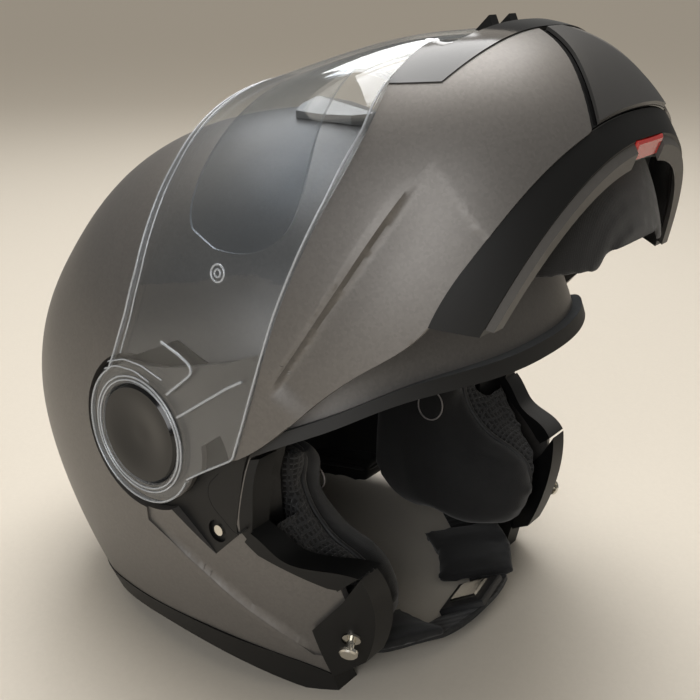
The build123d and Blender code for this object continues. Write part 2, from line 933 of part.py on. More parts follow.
def make_inner_lens():
    runs = [lens_shares, lens_low_shares]
    inset = visor_wall + seat_gap
    return (visor_form(inset) & full_side_prism(runs)) - visor_form(inset + inner_lens_thickness)


# Crown vent scoop, a leaf with a crest along it
vent_leaf_shares = [
    (0.0, 0.30),
    (0.075, 0.245),
    (0.135, 0.155),
    (0.165, 0.06),
    (0.10, 0.035),
    (0.0, 0.03),
    (-0.10, 0.035),
    (-0.165, 0.06),
    (-0.135, 0.155),
    (-0.075, 0.245),
]
vent_roof_shares = [(-0.20, -0.5), (-0.20, 0.2), (0.0, 1.0), (0.20, 0.2), (0.20, -0.5)]
vent_crest = 6.0
vent_middle_share = (0.165, 0.988)
vent_tilt = 9.0


def make_crown_vent():
    def leaf_place(point):
        across, forward = point
        return Vector(side_radius * across, -crown_radius * forward, pivot_height)

    def roof_place(point):
        across, height = point
        return Vector(side_radius * across, -overrun, vent_crest * height)

    leaf = Solid.extrude(Face(closed_wire(corners(*vent_leaf_shares), leaf_place)), Vector(0, 0, 2.0 * crown_radius))
    roof = Solid.extrude(Face(closed_wire(corners(*vent_roof_shares), roof_place)), Vector(0, 2.0 * overrun, 0))
    roof = Location(side_point(vent_middle_share)) * Rot(vent_tilt, 0, 0) * roof
    return (leaf & roof) - shell_form(-seat_gap)


def main():
    keep("outer_shell", make_outer_shell())
    keep("base_trim", make_base_trim())
    keep_pair("rim_trim", *make_rim_trims())
    keep_pair("corner_plate", *make_corner_plates())
    keep_pair("striker", make_striker())
    keep_pair("side_plate", make_side_plate())
    keep_pair("pocket_pin", make_pocket_pin())
    keep_pair("pivot_cap", make_pivot_cap())
    keep("brow_seal", make_brow_seal())
    keep("impact_liner", make_impact_liner())
    keep("crown_pad", make_crown_pad())
    keep_pair("cheek_pad", make_cheek_pad())
    keep("neck_roll", make_neck_roll())
    keep("chin_strap", make_chin_strap())
    keep_pair("strap_pad", make_strap_pad())
    keep("buckle", make_buckle())
    keep("buckle_lever", make_buckle_lever())
    keep("crown_vent", make_crown_vent())
    keep("chin_shell", raised(make_chin_shell()))
    keep("chin_top_trim", raised(make_chin_top_trim()))
    keep("front_vent", raised(make_front_vent()))
    keep("chin_vent_surround", raised(make_vent_surround()))
    hook = make_latch_hook()
    keep_pair("latch_hook", raised(hook), raised(on_right(hook)))
    keep("chin_lower_trim", raised(make_chin_lower_trim()))
    seals = make_chin_seals()
    keep_pair("chin_seal", raised(seals[0]), raised(seals[1]))
    keep("chin_liner", raised(make_chin_liner()))
    keep("chin_curtain", raised(make_chin_curtain()))
    keep("visor", raised(make_visor()))
    tab = make_visor_tab()
    keep_pair("visor_tab", raised(tab), raised(on_right(tab)))
    keep("inner_lens", raised(make_inner_lens()))
    keep("release_button", raised(make_release_button()))


if __name__ == "__main__":
    main()
    os.makedirs("parts", exist_ok=True)
    for name, solid in NODES.items():
        export_step(Pos(0, pivot_forward, 0) * solid, f"parts/{name}.step")
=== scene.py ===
import json
import math

import bmesh
import bpy
import numpy as np
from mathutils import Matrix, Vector

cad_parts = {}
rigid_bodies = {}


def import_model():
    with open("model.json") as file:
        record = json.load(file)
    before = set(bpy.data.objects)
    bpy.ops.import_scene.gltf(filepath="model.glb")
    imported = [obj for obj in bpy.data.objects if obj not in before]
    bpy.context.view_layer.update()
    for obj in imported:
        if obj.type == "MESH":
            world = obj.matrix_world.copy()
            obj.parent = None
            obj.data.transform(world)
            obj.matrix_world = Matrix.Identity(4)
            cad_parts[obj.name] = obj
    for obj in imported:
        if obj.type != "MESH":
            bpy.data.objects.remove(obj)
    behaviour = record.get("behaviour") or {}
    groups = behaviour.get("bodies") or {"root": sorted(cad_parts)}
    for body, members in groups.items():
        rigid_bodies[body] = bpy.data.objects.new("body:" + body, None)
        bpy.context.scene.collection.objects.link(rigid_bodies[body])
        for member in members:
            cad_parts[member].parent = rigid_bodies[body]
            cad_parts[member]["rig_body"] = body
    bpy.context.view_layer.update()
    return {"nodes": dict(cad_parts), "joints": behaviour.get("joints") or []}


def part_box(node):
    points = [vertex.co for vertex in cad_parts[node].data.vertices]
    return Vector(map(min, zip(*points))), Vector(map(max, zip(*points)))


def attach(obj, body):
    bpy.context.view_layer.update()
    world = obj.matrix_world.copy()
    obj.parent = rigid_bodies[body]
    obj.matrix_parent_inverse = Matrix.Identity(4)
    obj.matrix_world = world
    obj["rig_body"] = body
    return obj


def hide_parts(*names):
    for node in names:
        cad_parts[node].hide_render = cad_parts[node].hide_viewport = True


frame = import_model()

nodes = frame["nodes"]
MM = 0.001

# Camera, at the height of someone standing by the table, and looking down at the
# helmet's right front from less than a metre away.
camera_place = Vector((-405.9, -328.1, 330.8)) * MM
camera_azimuth = math.radians(-52.27)
camera_pitch = math.radians(20.68)
camera_data = bpy.data.cameras.new("camera")
camera_data.sensor_width = 36.0
camera_data.lens = 52.45
camera_data.clip_start = 0.01
camera = bpy.data.objects.new("camera", camera_data)
bpy.context.scene.collection.objects.link(camera)
bpy.context.scene.camera = camera
backward = Vector((math.sin(camera_azimuth) * math.cos(camera_pitch),
                   -math.cos(camera_azimuth) * math.cos(camera_pitch),
                   math.sin(camera_pitch)))
camera.location = camera_place
camera.rotation_mode = "QUATERNION"
camera.rotation_quaternion = (-backward).to_track_quat("-Z", "Y")


# Stage, a pale table top under soft ceiling lights. The table top's colour is all that
# the camera sees behind the helmet.
def linear(hex_colour):
    shares = [int(hex_colour[i:i + 2], 16) / 255.0 for i in (1, 3, 5)]
    made = [s / 12.92 if s <= 0.04045 else ((s + 0.055) / 1.055) ** 2.4 for s in shares]
    return (*made, 1.0)


def add(tree, kind, inputs=None, **settings):
    made = tree.nodes.new(kind)
    for name, value in settings.items():
        setattr(made, name, value)
    for name, value in (inputs or {}).items():
        if isinstance(value, bpy.types.NodeSocket):
            tree.links.new(value, made.inputs[name])
        else:
            made.inputs[name].default_value = value
    return made


def new_material(name):
    material = bpy.data.materials.new(name)
    material.use_nodes = True
    material.node_tree.nodes.clear()
    return material, material.node_tree


def new_object(name, vertices, faces):
    mesh = bpy.data.meshes.new(name)
    mesh.from_pydata([tuple(v) for v in vertices], [], [tuple(f) for f in faces])
    mesh.update()
    made = bpy.data.objects.new(name, mesh)
    bpy.context.scene.collection.objects.link(made)
    return made


def toned(name, colour, spread, roughness, grain_size, relief, inputs=None):
    # A plain finish with the fine relief of its mould, and a slight unevenness of tone
    material, tree = new_material(name)
    place = add(tree, "ShaderNodeTexCoord").outputs["Object"]
    grain = add(tree, "ShaderNodeTexNoise", {"Vector": place, "Scale": 1 / grain_size, "Detail": 2.0})
    tone = add(tree, "ShaderNodeMapRange", {
        "Value": grain.outputs["Fac"], "To Min": 1 - spread, "To Max": 1 + spread})
    mixed = add(tree, "ShaderNodeMix", {"Factor": 1.0, 6: linear(colour), 7: tone.outputs[0]},
                data_type="RGBA", blend_type="MULTIPLY")
    bump = add(tree, "ShaderNodeBump", {"Height": grain.outputs["Fac"], "Strength": 0.3, "Distance": relief})
    surface = add(tree, "ShaderNodeBsdfPrincipled", {
        "Base Color": mixed.outputs[2], "Roughness": roughness, "Normal": bump.outputs[0], **(inputs or {})})
    add(tree, "ShaderNodeOutputMaterial", {"Surface": surface.outputs[0]})
    return material


table_top, tree = new_material("white quartz table top")
place = add(tree, "ShaderNodeTexCoord").outputs["Object"]
# Quartz grains, about 2 mm
grains = add(tree, "ShaderNodeTexVoronoi", {"Vector": place, "Scale": 1 / (2.0 * MM)})
grain_tone = add(tree, "ShaderNodeMapRange", {
    "Value": grains.outputs["Color"], "To Min": 0.985, "To Max": 1.015})
top_tone = add(tree, "ShaderNodeMix", {"Factor": 1.0, 6: linear("#cfc8bc"), 7: grain_tone.outputs[0]},
               data_type="RGBA", blend_type="MULTIPLY")
surface = add(tree, "ShaderNodeBsdfPrincipled", {"Base Color": top_tone.outputs[2], "Roughness": 0.42,
                                                 "Specular IOR Level": 0.3})
add(tree, "ShaderNodeOutputMaterial", {"Surface": surface.outputs[0]})
reach = 30.0
corners = [(-reach, -reach, 0), (reach, -reach, 0), (reach, reach, 0), (-reach, reach, 0)]
floor = new_object("table_top", corners, [(0, 1, 2, 3)])
floor.data.materials.append(table_top)

world = bpy.data.worlds.new("room")
bpy.context.scene.world = world
world.use_nodes = True
world.node_tree.nodes.clear()
room = add(world.node_tree, "ShaderNodeBackground", {"Color": linear("#e6e4df"), "Strength": 0.22})
add(world.node_tree, "ShaderNodeOutputWorld", {"Surface": room.outputs[0]})

# Lamps: name, place, what it points at, side and watts
lamps = [
    ("ceiling", (0.35, 0.25, 1.6), (0.0, 0.0, 0.1), 1.1, 20.0),
    ("window", (-1.5, -0.5, 0.75), (0.0, 0.0, 0.15), 1.0, 13.0),
    ("hood", (0.95, 0.9, 1.2), (0.0, 0.0, 0.2), 0.6, 5.0),
]
for name, place, target, side, watts in lamps:
    lamp_data = bpy.data.lights.new(name, "AREA")
    lamp_data.size = side
    lamp_data.energy = watts
    lamp = bpy.data.objects.new(name, lamp_data)
    bpy.context.scene.collection.objects.link(lamp)
    lamp.location = place
    lamp.rotation_mode = "QUATERNION"
    lamp.rotation_quaternion = (Vector(target) - Vector(place)).to_track_quat("-Z", "Y")
# Light from the rest of the room's ceiling, even over the whole table
sun_data = bpy.data.lights.new("room_ceiling", "SUN")
sun_data.angle = math.radians(75)
sun_data.energy = 1.15
sun_data.color = linear("#fff4e4")[:3]
sun = bpy.data.objects.new("room_ceiling", sun_data)
bpy.context.scene.collection.objects.link(sun)
sun.rotation_euler = (math.radians(-12), math.radians(16), 0)
bpy.context.scene.view_settings.view_transform = "Standard"


# Painted shell: moulded thermoplastic, sprayed dark titanium under a satin clear coat.
# Its surface is a rounded form about the two side pivots, and the moulded pieces of
# the helmet all follow that form or the visor's or chin bar's.
chin_joint = next(joint for joint in frame["joints"] if joint["name"] == "chin_bar_flip")
pivot_y = chin_joint["pos_m"][1]
pivot_z = chin_joint["pos_m"][2]
closing = math.radians(chin_joint["range_deg"][0])
crown_radius = 134 * MM
shell_form = {
    "half_width": 128 * MM,
    "fullness": 2.3,
    "shares": [(-90, 1.53), (-57, 1.448), (-42, 1.313), (-20, 1.194), (10, 1.062), (45, 1.03), (90, 1.0),
               (125, 1.022), (147, 1.045), (165, 1.119), (185, 1.201), (210, 1.254), (240, 1.388)],
}


def profile_radius(form, angles):
    # A smooth closed curve through the form's shares, as a periodic cubic spline
    knots = np.radians([a for a, _ in form["shares"]])
    radii = np.array([s for _, s in form["shares"]]) * crown_radius
    count = len(knots)
    spans = np.diff(np.append(knots, knots[0] + 2 * math.pi))
    slopes = (np.roll(radii, -1) - radii) / spans
    matrix = np.zeros((count, count))
    for i in range(count):
        matrix[i, i - 1] = spans[i - 1]
        matrix[i, i] = 2 * (spans[i - 1] + spans[i])
        matrix[i, (i + 1) % count] = spans[i]
    bends = np.linalg.solve(matrix, 6 * (slopes - np.roll(slopes, 1)))
    turned = (angles - knots[0]) % (2 * math.pi) + knots[0]
    i = np.clip(np.searchsorted(knots, turned, side="right") - 1, 0, count - 1)
    after = (i + 1) % count
    t = turned - knots[i]
    h = spans[i]
    return (radii[i] + t * (slopes[i] - h * (2 * bends[i] + bends[after]) / 6)
            + t ** 2 * bends[i] / 2 + t ** 3 * (bends[after] - bends[i]) / (6 * h))


def form_ratio(form, points):
    # One on the form, less inside it, and the same along a ray from its middle in proportion
    y = points[:, 1] - pivot_y
    z = points[:, 2] - pivot_z
    radius = np.hypot(y, z)
    profile = profile_radius(form, np.arctan2(z, -y))
    n = form["fullness"]
    return ((np.abs(points[:, 0]) / form["half_width"]) ** n + (radius / profile) ** n) ** (1 / n)


def turned(points, angle):
    # About the side pivots, and a positive angle raises what is in front
    y = points[:, 1] - pivot_y
    z = points[:, 2] - pivot_z
    c, s = math.cos(angle), math.sin(angle)
    return np.stack([points[:, 0], pivot_y + y * c + z * s, pivot_z - y * s + z * c], axis=1)


def welded(points, triangles):
    # Points that lie on each other are joined, and triangles left with no area go
    keys, index = np.unique(np.round(points / (0.002 * MM)).astype(np.int64), axis=0, return_inverse=True)
    index = index.reshape(-1)
    joined = np.zeros((len(keys), 3))
    joined[index] = points
    triangles = index[triangles]
    whole = (triangles[:, 0] != triangles[:, 1]) & (triangles[:, 1] != triangles[:, 2])
    whole &= triangles[:, 0] != triangles[:, 2]
    return joined, triangles[whole]


def merged_node(name):
    mesh = nodes[name].data
    mesh.calc_loop_triangles()
    points = np.array([v.co for v in mesh.vertices])
    return welded(points, np.array([t.vertices for t in mesh.loop_triangles]))


def split_long_edges(points, triangles, form, longest):
    # Halves every edge over the given length. A new point on the form's own surface is
    # lifted onto it, and one on a flat face stays in its plane.
    count = len(points)
    corner_a = triangles
    corner_b = np.roll(triangles, -1, axis=1)
    low = np.minimum(corner_a, corner_b)
    high = np.maximum(corner_a, corner_b)
    keys, edge_of = np.unique((low * count + high).reshape(-1), return_inverse=True)
    edge_of = edge_of.reshape(-1, 3)
    a, b = keys // count, keys % count
    span = points[a] - points[b]
    long = np.linalg.norm(span, axis=1) > longest
    if not long.any():
        return points, triangles, False
    normals = np.cross(points[triangles[:, 1]] - points[triangles[:, 0]],
                       points[triangles[:, 2]] - points[triangles[:, 0]])
    normals /= np.maximum(np.linalg.norm(normals, axis=1, keepdims=True), 1e-12)
    total = np.zeros((len(keys), 3))
    uses = np.zeros(len(keys))
    np.add.at(total, edge_of.reshape(-1), np.repeat(normals, 3, axis=0))
    np.add.at(uses, edge_of.reshape(-1), 1)
    flat = np.linalg.norm(total, axis=1) > uses * 0.9999999
    middle = (points[a] + points[b]) / 2
    ratio = form_ratio(form, points)
    same = (np.abs(ratio[a] - ratio[b]) < 0.006) & ~flat
    wanted = (ratio[a] + ratio[b]) / 2
    scale = np.where(same, wanted / np.maximum(form_ratio(form, middle), 1e-9), 1.0)
    centre = np.array([0.0, pivot_y, pivot_z])
    middle = centre + (middle - centre) * scale[:, None]
    fresh = np.full(len(keys), -1)
    fresh[long] = count + np.arange(long.sum())
    points = np.concatenate([points, middle[long]])
    mids = fresh[edge_of]
    marks = mids >= 0
    made = [triangles[marks.sum(axis=1) == 0]]
    for turn in range(3):
        t = np.roll(triangles, -turn, axis=1)
        m = np.roll(mids, -turn, axis=1)
        k = m >= 0
        one = k[:, 0] & ~k[:, 1] & ~k[:, 2]
        made.append(np.stack([t[one, 0], m[one, 0], t[one, 2]], axis=1))
        made.append(np.stack([m[one, 0], t[one, 1], t[one, 2]], axis=1))
        two = k[:, 0] & k[:, 1] & ~k[:, 2]
        made.append(np.stack([m[two, 0], t[two, 1], m[two, 1]], axis=1))
        made.append(np.stack([t[two, 0], m[two, 0], m[two, 1]], axis=1))
        made.append(np.stack([t[two, 0], m[two, 1], t[two, 2]], axis=1))
    three = marks.all(axis=1)
    t, m = triangles[three], mids[three]
    made.append(np.stack([t[:, 0], m[:, 0], m[:, 2]], axis=1))
    made.append(np.stack([m[:, 0], t[:, 1], m[:, 1]], axis=1))
    made.append(np.stack([m[:, 2], m[:, 1], t[:, 2]], axis=1))
    made.append(m)
    return points, np.concatenate(made), True


def moulded(name, form, material, longest=4 * MM, raised=False, shape=None, sharp=32):
    # A finer copy of a CAD piece, drawn in the closed pose where it belongs to the front
    points, triangles = merged_node(name)
    if raised:
        points = turned(points, closing)
    going = True
    while going:
        points, triangles, going = split_long_edges(points, triangles, form, longest)
    if shape:
        points, triangles = welded(shape(form, points), triangles)
    if raised:
        points = turned(points, -closing)
    made = new_object(name + "_finished", points, triangles)
    made.data.shade_smooth()
    made.data.set_sharp_from_angle(angle=math.radians(sharp))
    made.data.materials.append(material)
    stands_for(made, name)
    return made


def stands_for(piece, name):
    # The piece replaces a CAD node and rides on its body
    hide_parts(name)
    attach(piece, nodes[name]["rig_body"])


def smooth_step(value, low, high):
    t = np.clip((value - low) / (high - low), 0.0, 1.0)
    return t * t * (3 - 2 * t)


def side_of(points, line):
    # Signed distance from a side outline in shares of the crown radius, positive above
    # it, and how far along the outline the nearest place is, from 0 to 1
    flat = np.stack([-(points[:, 1] - pivot_y), points[:, 2] - pivot_z], axis=1)
    corners = np.array(line) * crown_radius
    runs = np.linalg.norm(np.diff(corners, axis=0), axis=1)
    best = np.full(len(flat), 1e9)
    along = np.zeros(len(flat))
    above = np.ones(len(flat))
    passed = 0.0
    for a, b, run in zip(corners[:-1], corners[1:], runs):
        t = np.clip(((flat - a) @ (b - a)) / run ** 2, 0, 1)
        offset = flat - (a + t[:, None] * (b - a))
        distance = np.linalg.norm(offset, axis=1)
        nearer = distance < best
        best[nearer] = distance[nearer]
        along[nearer] = (passed + t[nearer] * run) / runs.sum()
        cross = (b - a)[0] * offset[:, 1] - (b - a)[1] * offset[:, 0]
        above[nearer] = np.where(cross[nearer] >= 0, 1.0, -1.0)
        passed += run
    return best * above, along


def soft_crease(line, depth, scoop, fade, runs_out=True):
    # The moulded step below a crease as a rounded band: a slight swell above, a ramp 4.2 mm
    # wide and a shallow scoop under it, that fades out along the line, or into the plain
    # step. Only points on the outer face move.
    def shape(form, points):
        n = form["fullness"]
        y = points[:, 1] - pivot_y
        z = points[:, 2] - pivot_z
        profile = profile_radius(form, np.arctan2(z, -y))
        across = (np.abs(points[:, 0]) / form["half_width"]) ** n
        along_side = (np.hypot(y, z) / profile) ** n
        whole = np.maximum(across + along_side, 1e-9)
        ratio = whole ** (1 / n)
        per_length = (across / form["half_width"] + along_side / profile) / whole
        below = (1 - ratio) / per_length
        distance, along = side_of(points, line)
        skin = (below < depth + 0.2 * MM) & (below > -0.4 * MM) & (np.abs(distance) < 75 * MM)
        strength = (1 - smooth_step(along, *fade)) * smooth_step(along, 0.0, 0.1)
        ramp = smooth_step(-distance, -1.0 * MM, 3.2 * MM)
        near = np.exp(-(distance / (13 * MM)) ** 2)
        sink = (depth * ramp + scoop * near * (1.6 * ramp - 0.6)) * strength
        if not runs_out:
            sink += below * (1 - strength)
        wanted = np.where(skin, ratio - (sink - below) * per_length, ratio)
        centre = np.array([0.0, pivot_y, pivot_z])
        return centre + (points - centre) * (wanted / np.maximum(ratio, 1e-9))[:, None]
    return shape


titanium_paint, tree = new_material("sprayed titanium paint with satin clear coat")
place = add(tree, "ShaderNodeTexCoord").outputs["Object"]
# Flakes are about 0.05 mm across, drawn at 1.2 mm so that they still show as a sparkle
flakes = add(tree, "ShaderNodeTexVoronoi", {"Vector": place, "Scale": 1 / (1.2 * MM)})
flake_tone = add(tree, "ShaderNodeMapRange", {
    "Value": flakes.outputs["Color"], "To Min": 0.93, "To Max": 1.08})
paint_tone = add(tree, "ShaderNodeMix", {"Factor": 1.0, 6: linear("#6b6865"), 7: flake_tone.outputs[0]},
                 data_type="RGBA", blend_type="MULTIPLY")
# Orange peel of the clear coat, 2 mm across
peel = add(tree, "ShaderNodeTexNoise", {"Vector": place, "Scale": 1 / (2.2 * MM), "Detail": 1.0})
peel_bump = add(tree, "ShaderNodeBump", {
    "Height": peel.outputs["Fac"], "Strength": 0.035, "Distance": 0.3 * MM})
surface = add(tree, "ShaderNodeBsdfPrincipled", {
    "Base Color": paint_tone.outputs[2], "Metallic": 0.6, "Roughness": 0.46,
    "Coat Weight": 0.1, "Coat Roughness": 0.35, "Normal": peel_bump.outputs[0]})
add(tree, "ShaderNodeOutputMaterial", {"Surface": surface.outputs[0]})
# The line above the sunk flank, as forward and up shares from the pivots
flank_line = [(0.60, -0.76), (0.505, -0.665), (0.40, -0.588), (0.30, -0.515), (0.17, -0.43), (0.0, -0.34)]
moulded("outer_shell", shell_form, titanium_paint, longest=4 * MM,
        shape=soft_crease(flank_line, 1.2 * MM, 0.8 * MM, (0.75, 1.0), runs_out=False))


# Black mouldings: the lower edge trim, the face opening's rim and the corner plates, in
# satin black plastic straight from the mould, clipped and glued over the shell's edges.
satin_black, tree = new_material("satin black moulded plastic")
place = add(tree, "ShaderNodeTexCoord").outputs["Object"]
# Spark-eroded mould texture of about 0.3 mm, drawn at 1.1 mm so that it still shows
grain = add(tree, "ShaderNodeTexNoise", {"Vector": place, "Scale": 1 / (1.1 * MM), "Detail": 2.0})
grain_bump = add(tree, "ShaderNodeBump", {
    "Height": grain.outputs["Fac"], "Strength": 0.1, "Distance": 0.1 * MM})
surface = add(tree, "ShaderNodeBsdfPrincipled", {
    "Base Color": linear("#101010"), "Roughness": 0.48, "Specular IOR Level": 0.3,
    "Normal": grain_bump.outputs[0]})
add(tree, "ShaderNodeOutputMaterial", {"Surface": surface.outputs[0]})
for name in ("base_trim", "rim_trim_left", "rim_trim_right", "corner_plate_left", "corner_plate_right",
             "side_plate_left", "side_plate_right"):
    moulded(name, shell_form, satin_black)


# Pivot caps, glossy black mouldings that screw over the visor's round ends.
# Faint waves of the polished mould, 9 mm apart
gloss_black = toned("polished black moulded plastic", "#0b0b0c", 0.1, 0.12, 9 * MM, 0.05 * MM,
                    {"Specular IOR Level": 0.5})


def dished(form, points):
    # The cap's face sinks 1.6 mm in a round dish inside its rim
    radius = np.hypot(points[:, 1] - pivot_y, points[:, 2] - pivot_z)
    face = np.abs(points[:, 0]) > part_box("pivot_cap_left")[1][0] - 0.05 * MM
    dish = 1.6 * MM * (1 - smooth_step(radius, 4 * MM, 21 * MM))
    moved = points.copy()
    moved[:, 0] -= np.sign(points[:, 0]) * dish * face
    return moved


for name in ("pivot_cap_left", "pivot_cap_right"):
    moulded(name, shell_form, gloss_black, longest=2 * MM, shape=dished)


# Brow seal, soft extruded rubber glued round the top of the face opening.
# Bloom of the rubber in patches of 3 mm
seal_rubber = toned("extruded black rubber", "#161616", 0.2, 0.6, 3 * MM, 0.1 * MM)
moulded("brow_seal", shell_form, seal_rubber)


# Chin bar: the same paint on a moulded half ring with an ear at each end, glossy
# trim along its upper edge, and satin black trim with a rubber strip along its lower one.
chin_form = {
    "half_width": 129.3 * MM,
    "fullness": 2.4,
    "shares": [(-90, 1.50), (-72, 1.50), (-52, 1.582), (-40, 1.657), (-30, 1.701), (-21, 1.687),
               (-12, 1.582), (-4, 1.463), (8, 1.343), (28, 1.231), (60, 1.12), (90, 1.12), (140, 1.2),
               (180, 1.27), (225, 1.4)],
}
crease_line = [(0.44, -0.44), (0.679, -0.493), (0.933, -0.537), (1.104, -0.56), (1.254, -0.582),
               (1.336, -0.679)]
moulded("chin_shell", chin_form, titanium_paint, raised=True, longest=2.6 * MM,
        shape=soft_crease(crease_line, 1.1 * MM, 1.5 * MM, (0.62, 0.9)))
moulded("chin_top_trim", chin_form, gloss_black, raised=True)
# The vent plate is a dark grey moulding with a fine texture drawn at 1.1 mm. Its colour is painted lighter
# than its own grey, a painted highlight for the light it catches where it faces up
vent_grey_with_painted_light = toned("fine satin black vent plate", "#3c3b3a", 0.06, 0.36, 1.1 * MM, 0.05 * MM)
moulded("front_vent", chin_form, vent_grey_with_painted_light, raised=True)
moulded("chin_vent_surround", chin_form, gloss_black, raised=True)
moulded("chin_lower_trim", chin_form, satin_black, raised=True)
# Extruded, with a dull skin that varies over 3 mm
strip_rubber = toned("grey rubber strip", "#4b4947", 0.12, 0.55, 3 * MM, 0.1 * MM)
moulded("chin_seal_left", chin_form, strip_rubber, raised=True)
moulded("chin_seal_right", chin_form, strip_rubber, raised=True)


# Visor, injection-moulded clear polycarbonate with a hard coat, and the thin lens that
# is clipped inside it.
visor_form = {
    "half_width": 128.5 * MM,
    "fullness": 2.8,
    "shares": [(-90, 1.60), (-57, 1.604), (-28, 1.582), (-12, 1.53), (-4, 1.41), (2, 1.313), (11, 1.201),
               (22, 1.12), (35, 1.075), (60, 1.06), (90, 1.06), (140, 1.12), (180, 1.2), (225, 1.4)],
}
clear_visor, tree = new_material("clear polycarbonate")
gloss = add(tree, "ShaderNodeBsdfGlossy", {"Color": linear("#ffffff"), "Roughness": 0.03})
through = add(tree, "ShaderNodeBsdfTransparent", {"Color": linear("#f2f4f6")})
facing = add(tree, "ShaderNodeLayerWeight", {"Blend": 0.5})
grazing = add(tree, "ShaderNodeMath", {0: facing.outputs["Facing"], 1: 5.0}, operation="POWER")
mirror = add(tree, "ShaderNodeMath", {0: grazing.outputs[0], 1: 0.9, 2: 0.045}, operation="MULTIPLY_ADD")
both = add(tree, "ShaderNodeMixShader", {
    "Fac": mirror.outputs[0], 1: through.outputs[0], 2: gloss.outputs[0]})
add(tree, "ShaderNodeOutputMaterial", {"Surface": both.outputs[0]})
# Painted highlight: a pale, partly opaque colour stands for the light that a cut edge of the clear sheet
# gathers from inside it
painted_edge_highlight, tree = new_material("bright cut edge of the polycarbonate")
place = add(tree, "ShaderNodeTexCoord").outputs["Object"]
# Cutter marks, drawn 1.5 mm apart
marks = add(tree, "ShaderNodeTexNoise", {"Vector": place, "Scale": 1 / (1.5 * MM), "Detail": 1.0})
mark_tone = add(tree, "ShaderNodeMix", {
    "Factor": marks.outputs["Fac"], 6: linear("#b9bdc2"), 7: linear("#d9dde2")},
                data_type="RGBA")
painted_glint = add(tree, "ShaderNodeBsdfPrincipled", {
    "Base Color": mark_tone.outputs[2], "Roughness": 0.22, "Metallic": 0.3})
through = add(tree, "ShaderNodeBsdfTransparent", {"Color": linear("#ffffff")})
both = add(tree, "ShaderNodeMixShader", {"Fac": 0.55, 1: through.outputs[0], 2: painted_glint.outputs[0]})
add(tree, "ShaderNodeOutputMaterial", {"Surface": both.outputs[0]})


def mark_cut_edges(piece, form, material):
    # Faces that don't lie along the sheet get the painted highlight of its cut edge
    centres = np.array([face.center for face in piece.data.polygons])
    normals = np.array([face.normal for face in piece.data.polygons])
    placed = turned(centres, closing)
    normals = turned(normals + np.array([0, pivot_y, pivot_z]), closing) - np.array([0, pivot_y, pivot_z])
    n = form["fullness"]
    y = placed[:, 1] - pivot_y
    z = placed[:, 2] - pivot_z
    radius = np.maximum(np.hypot(y, z), 1e-6)
    profile = profile_radius(form, np.arctan2(z, -y))
    inward = radius ** (n - 1) / profile ** n
    outward = np.stack([np.sign(placed[:, 0]) * np.abs(placed[:, 0]) ** (n - 1) / form["half_width"] ** n,
                        inward * y / radius, inward * z / radius], axis=1)
    outward /= np.linalg.norm(outward, axis=1, keepdims=True)
    piece.data.materials.append(material)
    edge = np.abs((normals * outward).sum(axis=1)) < 0.6
    piece.data.polygons.foreach_set("material_index", edge.astype(np.int32))
    piece.data.update()


for name in ("visor", "inner_lens"):
    mark_cut_edges(moulded(name, visor_form, clear_visor, raised=True), visor_form, painted_edge_highlight)
for name in ("visor_tab_left", "visor_tab_right"):
    moulded(name, visor_form, satin_black, raised=True)


# Small steel and moulded pieces: latch pins and hooks, stop pins and the buckle.
polished_steel, tree = new_material("polished stainless steel")
place = add(tree, "ShaderNodeTexCoord").outputs["Object"]
# Turning marks, 0.3 mm apart
marks = add(tree, "ShaderNodeTexNoise", {"Vector": place, "Scale": 1 / (0.3 * MM), "Detail": 1.0})
mark_bump = add(tree, "ShaderNodeBump", {
    "Height": marks.outputs["Fac"], "Strength": 0.15, "Distance": 0.05 * MM})
surface = add(tree, "ShaderNodeBsdfPrincipled", {
    "Base Color": linear("#d8d4ca"), "Metallic": 1.0, "Roughness": 0.24,
                                                 "Normal": mark_bump.outputs[0]})
add(tree, "ShaderNodeOutputMaterial", {"Surface": surface.outputs[0]})
# Eroded mould texture, drawn at 1 mm, and the red's flow marks, 4 mm apart
grey_moulding = toned("dark grey moulded nylon", "#232324", 0.1, 0.5, 1 * MM, 0.1 * MM)
red_moulding = toned("clear red moulding", "#b3302c", 0.08, 0.2, 4 * MM, 0.05 * MM, {"Coat Weight": 0.3})
# Lacquer with flakes drawn at 1.2 mm
silver_lacquer = toned("silver lacquer on plastic", "#7c7975", 0.06, 0.35, 1.2 * MM, 0.03 * MM,
                       {"Metallic": 0.35})


def dress(name, material):
    for held in nodes[name].material_slots:
        held.material = material


for side in ("left", "right"):
    for name in ("striker_", "latch_hook_", "pocket_pin_"):
        dress(name + side, polished_steel)
dress("buckle", grey_moulding)
dress("buckle_lever", polished_steel)
dress("release_button", red_moulding)
dress("crown_vent", silver_lacquer)


# Impact liner: moulded beads of black foam, with a slight sheen.
bead_foam, tree = new_material("expanded foam beads")
place = add(tree, "ShaderNodeTexCoord").outputs["Object"]
# Beads are 3.5 mm across
beads = add(tree, "ShaderNodeTexVoronoi", {"Vector": place, "Scale": 1 / (3.5 * MM)})
bead_bump = add(tree, "ShaderNodeBump", {
    "Height": beads.outputs["Distance"], "Strength": 0.35, "Distance": -0.4 * MM})
surface = add(tree, "ShaderNodeBsdfPrincipled", {"Base Color": linear("#141414"), "Roughness": 0.6,
                                                 "Normal": bead_bump.outputs[0]})
add(tree, "ShaderNodeOutputMaterial", {"Surface": surface.outputs[0]})
moulded("impact_liner", shell_form, bead_foam, longest=7 * MM)


